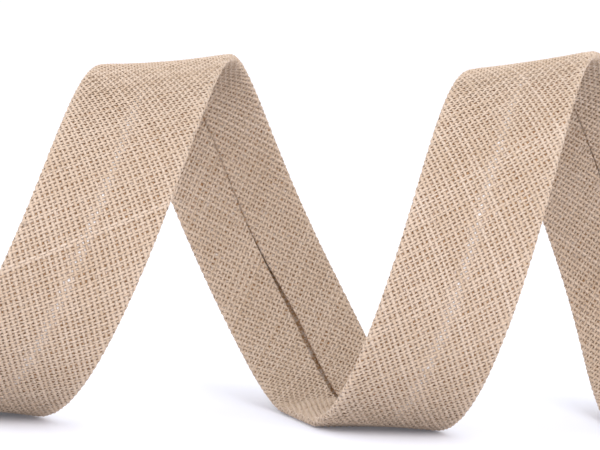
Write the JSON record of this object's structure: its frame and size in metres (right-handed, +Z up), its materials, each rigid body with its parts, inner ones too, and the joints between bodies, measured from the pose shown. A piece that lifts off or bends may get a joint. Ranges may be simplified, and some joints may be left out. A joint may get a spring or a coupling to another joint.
{
  "type": "bias binding",
  "caption": "Length of folded bias-cut cotton binding, curled into a loose open spiral that stands on its turns.",
  "frame": {"origin": "on the surface that the curl stands on, under the middle of its box", "axes": "+X along the curl from its left end to its right, +Y from the camera's side to the back, +Z up"},
  "size_m": [0.1124, 0.044, 0.0413],
  "materials": {
    "cotton": "matt plain-weave cotton, beige, cut on the bias"
  },
  "bodies": {
    "root": {"binding": "cotton"}
  },
  "joints": []
}
